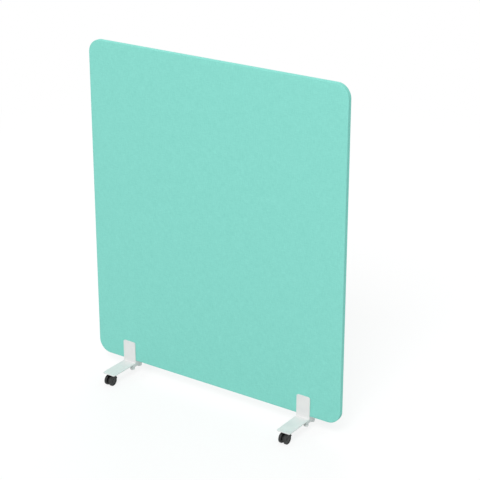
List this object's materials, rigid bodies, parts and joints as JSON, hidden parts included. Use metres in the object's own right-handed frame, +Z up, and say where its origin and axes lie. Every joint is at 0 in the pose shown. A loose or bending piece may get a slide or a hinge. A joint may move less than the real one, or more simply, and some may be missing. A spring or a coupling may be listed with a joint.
{
  "type": "mobile acoustic divider screen",
  "caption": "Flat fabric covered acoustic panel with round corners, clamped upright in bent steel feet on swivelling twin wheel casters, for dividing a room.",
  "frame": {"origin": "on the floor, under the middle of the panel", "axes": "+X along the panel to the right seen from the front, +Y towards the back, +Z up"},
  "size_m": [1.4, 0.391, 1.675],
  "materials": {
    "cover_fabric": "woven, mint green, fine mottle",
    "felt": "pressed felt",
    "infill": "fibre board",
    "timber": "planed softwood",
    "foot_paint": "white powder coat, satin",
    "grip_rubber": "matt",
    "clamp_plastic": "light grey, fine grain",
    "caster_plastic": "black moulded nylon",
    "plated_steel": "zinc plated"
  },
  "bodies": {
    "screen": {"front_cover": "cover_fabric", "back_cover": "cover_fabric", "front_felt": "felt", "back_felt": "felt", "top_rail": "timber", "bottom_rail": "timber", "left_stile": "timber", "right_stile": "timber", "mid_rail": "timber", "upper_infill": "infill", "lower_infill": "infill", "top_left_corner_block": "timber", "top_right_corner_block": "timber", "bottom_left_corner_block": "timber", "bottom_right_corner_block": "timber", "left_clamp_block": "timber", "left_grip_pads": "grip_rubber", "left_clamp_bridge": "clamp_plastic", "left_weld_studs": "plated_steel", "left_front_bracket": "foot_paint", "left_front_caster_nut": "foot_paint", "left_front_caster_stem": "plated_steel", "left_rear_bracket": "foot_paint", "left_rear_caster_nut": "foot_paint", "left_rear_caster_stem": "plated_steel", "right_clamp_block": "timber", "right_grip_pads": "grip_rubber", "right_clamp_bridge": "clamp_plastic", "right_weld_studs": "plated_steel", "right_front_bracket": "foot_paint", "right_front_caster_nut": "foot_paint", "right_front_caster_stem": "plated_steel", "right_rear_bracket": "foot_paint", "right_rear_caster_nut": "foot_paint", "right_rear_caster_stem": "plated_steel"},
    "left_front_swivel": {"left_front_caster_body": "caster_plastic", "left_front_caster_axle": "plated_steel"},
    "left_front_outer_wheel": {"left_front_outer_wheel": "caster_plastic"},
    "left_front_inner_wheel": {"left_front_inner_wheel": "caster_plastic"},
    "left_rear_swivel": {"left_rear_caster_body": "caster_plastic", "left_rear_caster_axle": "plated_steel"},
    "left_rear_outer_wheel": {"left_rear_outer_wheel": "caster_plastic"},
    "left_rear_inner_wheel": {"left_rear_inner_wheel": "caster_plastic"},
    "right_front_swivel": {"right_front_caster_body": "caster_plastic", "right_front_caster_axle": "plated_steel"},
    "right_front_outer_wheel": {"right_front_outer_wheel": "caster_plastic"},
    "right_front_inner_wheel": {"right_front_inner_wheel": "caster_plastic"},
    "right_rear_swivel": {"right_rear_caster_body": "caster_plastic", "right_rear_caster_axle": "plated_steel"},
    "right_rear_outer_wheel": {"right_rear_outer_wheel": "caster_plastic"},
    "right_rear_inner_wheel": {"right_rear_inner_wheel": "caster_plastic"},
    "left_front_outer_knob": {"left_front_outer_knob": "clamp_plastic"},
    "left_front_inner_knob": {"left_front_inner_knob": "clamp_plastic"},
    "left_rear_outer_knob": {"left_rear_outer_knob": "clamp_plastic"},
    "left_rear_inner_knob": {"left_rear_inner_knob": "clamp_plastic"},
    "right_front_outer_knob": {"right_front_outer_knob": "clamp_plastic"},
    "right_front_inner_knob": {"right_front_inner_knob": "clamp_plastic"},
    "right_rear_outer_knob": {"right_rear_outer_knob": "clamp_plastic"},
    "right_rear_inner_knob": {"right_rear_inner_knob": "clamp_plastic"}
  },
  "joints": [
    {"name": "left_front_swivel_turn", "type": "hinge", "parent": "screen", "child": "left_front_swivel", "pos_m": [-0.507, -0.1515, 0.059], "axis": [0, 0, 1], "continuous": true},
    {"name": "left_front_outer_wheel_roll", "type": "hinge", "parent": "left_front_swivel", "child": "left_front_outer_wheel", "pos_m": [-0.5205, -0.1705, 0.025], "axis": [1, 0, 0], "continuous": true},
    {"name": "left_front_inner_wheel_roll", "type": "hinge", "parent": "left_front_swivel", "child": "left_front_inner_wheel", "pos_m": [-0.4935, -0.1705, 0.025], "axis": [1, 0, 0], "continuous": true},
    {"name": "left_rear_swivel_turn", "type": "hinge", "parent": "screen", "child": "left_rear_swivel", "pos_m": [-0.507, 0.1515, 0.059], "axis": [0, 0, 1], "continuous": true},
    {"name": "left_rear_outer_wheel_roll", "type": "hinge", "parent": "left_rear_swivel", "child": "left_rear_outer_wheel", "pos_m": [-0.5205, 0.1705, 0.025], "axis": [1, 0, 0], "continuous": true},
    {"name": "left_rear_inner_wheel_roll", "type": "hinge", "parent": "left_rear_swivel", "child": "left_rear_inner_wheel", "pos_m": [-0.4935, 0.1705, 0.025], "axis": [1, 0, 0], "continuous": true},
    {"name": "right_front_swivel_turn", "type": "hinge", "parent": "screen", "child": "right_front_swivel", "pos_m": [0.507, -0.1515, 0.059], "axis": [0, 0, 1], "continuous": true},
    {"name": "right_front_outer_wheel_roll", "type": "hinge", "parent": "right_front_swivel", "child": "right_front_outer_wheel", "pos_m": [0.5205, -0.1705, 0.025], "axis": [1, 0, 0], "continuous": true},
    {"name": "right_front_inner_wheel_roll", "type": "hinge", "parent": "right_front_swivel", "child": "right_front_inner_wheel", "pos_m": [0.4935, -0.1705, 0.025], "axis": [1, 0, 0], "continuous": true},
    {"name": "right_rear_swivel_turn", "type": "hinge", "parent": "screen", "child": "right_rear_swivel", "pos_m": [0.507, 0.1515, 0.059], "axis": [0, 0, 1], "continuous": true},
    {"name": "right_rear_outer_wheel_roll", "type": "hinge", "parent": "right_rear_swivel", "child": "right_rear_outer_wheel", "pos_m": [0.5205, 0.1705, 0.025], "axis": [1, 0, 0], "continuous": true},
    {"name": "right_rear_inner_wheel_roll", "type": "hinge", "parent": "right_rear_swivel", "child": "right_rear_inner_wheel", "pos_m": [0.4935, 0.1705, 0.025], "axis": [1, 0, 0], "continuous": true},
    {"name": "left_front_outer_knob_turn", "type": "hinge", "parent": "screen", "child": "left_front_outer_knob", "pos_m": [-0.531, -0.027, 0.045], "axis": [0, 0, 1], "range_deg": [-360, 0]},
    {"name": "left_front_inner_knob_turn", "type": "hinge", "parent": "screen", "child": "left_front_inner_knob", "pos_m": [-0.483, -0.027, 0.045], "axis": [0, 0, 1], "range_deg": [-360, 0]},
    {"name": "left_rear_outer_knob_turn", "type": "hinge", "parent": "screen", "child": "left_rear_outer_knob", "pos_m": [-0.531, 0.027, 0.045], "axis": [0, 0, 1], "range_deg": [-360, 0]},
    {"name": "left_rear_inner_knob_turn", "type": "hinge", "parent": "screen", "child": "left_rear_inner_knob", "pos_m": [-0.483, 0.027, 0.045], "axis": [0, 0, 1], "range_deg": [-360, 0]},
    {"name": "right_front_outer_knob_turn", "type": "hinge", "parent": "screen", "child": "right_front_outer_knob", "pos_m": [0.531, -0.027, 0.045], "axis": [0, 0, 1], "range_deg": [-360, 0]},
    {"name": "right_front_inner_knob_turn", "type": "hinge", "parent": "screen", "child": "right_front_inner_knob", "pos_m": [0.483, -0.027, 0.045], "axis": [0, 0, 1], "range_deg": [-360, 0]},
    {"name": "right_rear_outer_knob_turn", "type": "hinge", "parent": "screen", "child": "right_rear_outer_knob", "pos_m": [0.531, 0.027, 0.045], "axis": [0, 0, 1], "range_deg": [-360, 0]},
    {"name": "right_rear_inner_knob_turn", "type": "hinge", "parent": "screen", "child": "right_rear_inner_knob", "pos_m": [0.483, 0.027, 0.045], "axis": [0, 0, 1], "range_deg": [-360, 0]}
  ]
}
